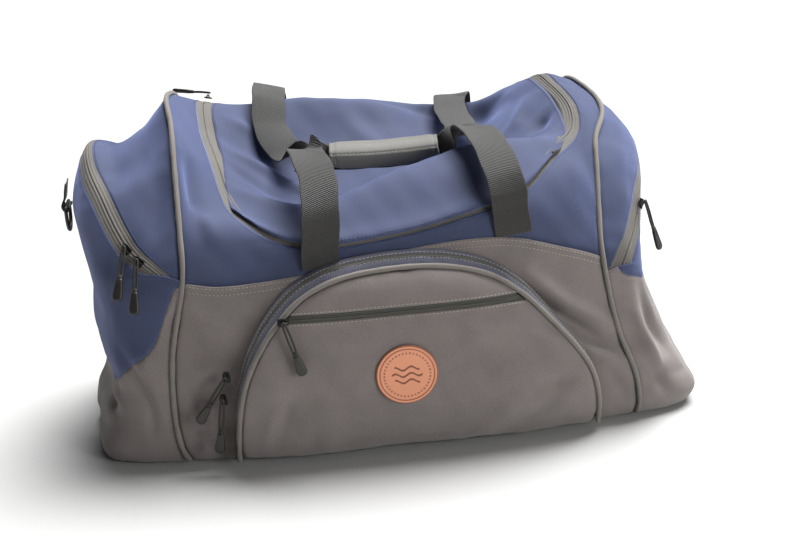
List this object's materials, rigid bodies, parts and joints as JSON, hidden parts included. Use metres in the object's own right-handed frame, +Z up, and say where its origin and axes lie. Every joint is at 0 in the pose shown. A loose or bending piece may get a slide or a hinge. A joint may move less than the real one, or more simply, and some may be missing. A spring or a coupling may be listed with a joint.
{
  "type": "duffel bag",
  "caption": "Soft travel duffel bag with a zipped U-shaped lid, zipped end and front pockets, piped seams, web carry handles joined by a wrap grip, and D-rings",
  "frame": {"origin": "on the floor, under the middle of the main body between the two piped seams", "axes": "+X along the bag's length to the viewer's right, -Y is the front with the pocket, +Z up"},
  "size_m": [0.6827, 0.3639, 0.3608],
  "materials": {
    "blue_cloth": "coated polyester plain weave",
    "grey_cloth": "coated polyester plain weave",
    "navy_cloth": "melange plain weave",
    "grey_trim": "woven tape",
    "black_web": "twill webbing",
    "black_plastic": "satin moulded",
    "black_metal": "satin paint",
    "tan_leather": "smooth",
    "board": "fluted board"
  },
  "bodies": {
    "bag": {"back_panel_lower": "grey_cloth", "back_panel_upper": "blue_cloth", "back_strap_left": "black_web", "back_strap_right": "black_web", "base_board": "board", "base_panel": "grey_cloth", "front_panel": "grey_cloth", "front_strap_left": "black_web", "front_strap_right": "black_web", "front_yoke": "blue_cloth", "left_bulkhead": "grey_cloth", "left_end_gusset": "blue_cloth", "left_end_panel": "grey_cloth", "left_end_zip_inner": "grey_trim", "left_piping": "grey_trim", "left_yoke": "blue_cloth", "lid_zip_outer": "grey_trim", "pocket_gusset": "navy_cloth", "right_bulkhead": "grey_cloth", "right_end_gusset": "blue_cloth", "right_end_panel": "grey_cloth", "right_end_zip_inner": "grey_trim", "right_piping": "grey_trim", "right_yoke": "blue_cloth"},
    "lid": {"lid_panel": "blue_cloth", "lid_zip_inner": "grey_trim"},
    "front_handle": {"front_web_left": "black_web", "front_web_right": "black_web", "grip_core": "black_web", "grip_wrap": "black_web"},
    "rear_handle": {"rear_web": "black_web"},
    "front_pocket": {"pocket_face_lower": "grey_cloth", "pocket_face_upper": "grey_cloth", "pocket_piping": "grey_trim", "pocket_zip_lower": "grey_trim", "pocket_zip_upper": "grey_trim", "leather_patch": "tan_leather"},
    "left_end": {"left_end_flap": "blue_cloth", "left_end_zip_outer": "grey_trim", "left_ring_tab": "black_web"},
    "right_end": {"right_end_flap": "blue_cloth", "right_end_zip_outer": "grey_trim", "right_ring_tab": "black_web"},
    "left_ring": {"left_d_ring": "black_plastic"},
    "right_ring": {"right_d_ring": "black_plastic"},
    "lid_slide": {"lid_slider": "black_metal"},
    "lid_tag": {"lid_pull": "black_plastic"},
    "pocket_slide": {"pocket_slider": "black_metal"},
    "pocket_tag": {"pocket_pull": "black_plastic"},
    "gusset_upper_slide": {"gusset_upper_slider": "black_metal"},
    "gusset_upper_tag": {"gusset_upper_pull": "black_plastic"},
    "gusset_lower_slide": {"gusset_lower_slider": "black_metal"},
    "gusset_lower_tag": {"gusset_lower_pull": "black_plastic"},
    "left_a_slide": {"left_a_slider": "black_metal"},
    "left_a_tag": {"left_a_pull": "black_plastic"},
    "left_b_slide": {"left_b_slider": "black_metal"},
    "left_b_tag": {"left_b_pull": "black_plastic"},
    "right_slide": {"right_slider": "black_metal"},
    "right_tag": {"right_pull": "black_plastic"}
  },
  "joints": [
    {"name": "lid_hinge", "type": "hinge", "parent": "bag", "child": "lid", "pos_m": [0, 0.1475, 0.29], "axis": [-1, 0, 0], "range_deg": [0, 47]},
    {"name": "front_handle_hinge", "type": "hinge", "parent": "bag", "child": "front_handle", "pos_m": [0.0065, -0.155, 0.235], "axis": [0.991, 0.0203, 0.1321], "range_deg": [0, 145.1]},
    {"name": "rear_handle_hinge", "type": "hinge", "parent": "bag", "child": "rear_handle", "pos_m": [0, 0.1535, 0.281], "axis": [-1, 0, 0], "range_deg": [0, 165.1]},
    {"name": "front_pocket_hinge", "type": "hinge", "parent": "bag", "child": "front_pocket", "pos_m": [0, -0.166, 0.008], "axis": [1, 0, 0], "range_deg": [0, 40]},
    {"name": "left_end_hinge", "type": "hinge", "parent": "bag", "child": "left_end", "pos_m": [-0.3376, 0, 0.196], "axis": [0, -1, 0], "range_deg": [0, 70]},
    {"name": "right_end_hinge", "type": "hinge", "parent": "bag", "child": "right_end", "pos_m": [0.2671, 0, 0.16], "axis": [0, 1, 0], "range_deg": [0, 70]},
    {"name": "left_ring_hinge", "type": "hinge", "parent": "left_end", "child": "left_ring", "pos_m": [-0.3504, 0, 0.2522], "axis": [0, 1, 0], "range_deg": [0, 100]},
    {"name": "right_ring_hinge", "type": "hinge", "parent": "right_end", "child": "right_ring", "pos_m": [0.2819, 0, 0.2142], "axis": [0, -1, 0], "range_deg": [0, 100]},
    {"name": "lid_zip", "type": "slide", "parent": "lid", "child": "lid_slide", "axis": [-0.2463, -0.9578, 0.1484], "range_m": [0, 0.03]},
    {"name": "lid_pull_hinge", "type": "hinge", "parent": "lid_slide", "child": "lid_tag", "pos_m": [-0.18975, 0.10456, 0.34198], "axis": [0.4567, 0.8304, -0.3193], "range_deg": [0, 100]},
    {"name": "pocket_zip", "type": "slide", "parent": "front_pocket", "child": "pocket_slide", "axis": [1, 0, 0], "range_m": [0, 0.24]},
    {"name": "pocket_pull_hinge", "type": "hinge", "parent": "pocket_slide", "child": "pocket_tag", "pos_m": [-0.134, -0.1956, 0.165], "axis": [-0.963, 0, -0.2696], "range_deg": [0, 100]},
    {"name": "gusset_upper_zip", "type": "slide", "parent": "bag", "child": "gusset_upper_slide", "axis": [0, 0, 1], "range_m": [0, 0.05]},
    {"name": "gusset_upper_pull_hinge", "type": "hinge", "parent": "gusset_upper_slide", "child": "gusset_upper_tag", "pos_m": [-0.19644, -0.17876, 0.106], "axis": [-0.8098, 0.2025, 0.5507], "range_deg": [0, 100]},
    {"name": "gusset_lower_zip", "type": "slide", "parent": "bag", "child": "gusset_lower_slide", "axis": [0, 0, -1], "range_m": [0, 0.02]},
    {"name": "gusset_lower_pull_hinge", "type": "hinge", "parent": "gusset_lower_slide", "child": "gusset_lower_tag", "pos_m": [-0.20144, -0.17876, 0.082], "axis": [-0.9613, 0.2403, 0.1346], "range_deg": [0, 100]},
    {"name": "left_a_zip", "type": "slide", "parent": "left_end", "child": "left_a_slide", "axis": [0.619, -0.5577, -0.553], "range_m": [0, 0.012]},
    {"name": "left_a_pull_hinge", "type": "hinge", "parent": "left_a_slide", "child": "left_a_tag", "pos_m": [-0.27253, -0.14321, 0.22749], "axis": [-0.9518, 0.3067, 0], "range_deg": [0, 100]},
    {"name": "left_b_zip", "type": "slide", "parent": "left_end", "child": "left_b_slide", "axis": [-0.4379, 0.6488, 0.6223], "range_m": [0, 0.02]},
    {"name": "left_b_pull_hinge", "type": "hinge", "parent": "left_b_slide", "child": "left_b_tag", "pos_m": [-0.28413, -0.13219, 0.23862], "axis": [-0.9187, 0.3949, 0], "range_deg": [0, 100]},
    {"name": "right_zip", "type": "slide", "parent": "right_end", "child": "right_slide", "axis": [0.3249, 0.7237, 0.6089], "range_m": [0, 0.02]},
    {"name": "right_pull_hinge", "type": "hinge", "parent": "right_slide", "child": "right_tag", "pos_m": [0.26251, -0.10313, 0.22938], "axis": [-0.6553, -0.7554, 0], "range_deg": [0, 100]}
  ],
  "couplings": [
    {"joint": "front_handle_hinge", "follows": "lid_hinge", "ratio": 2.96},
    {"joint": "rear_handle_hinge", "follows": "lid_hinge", "ratio": 3.4}
  ]
}
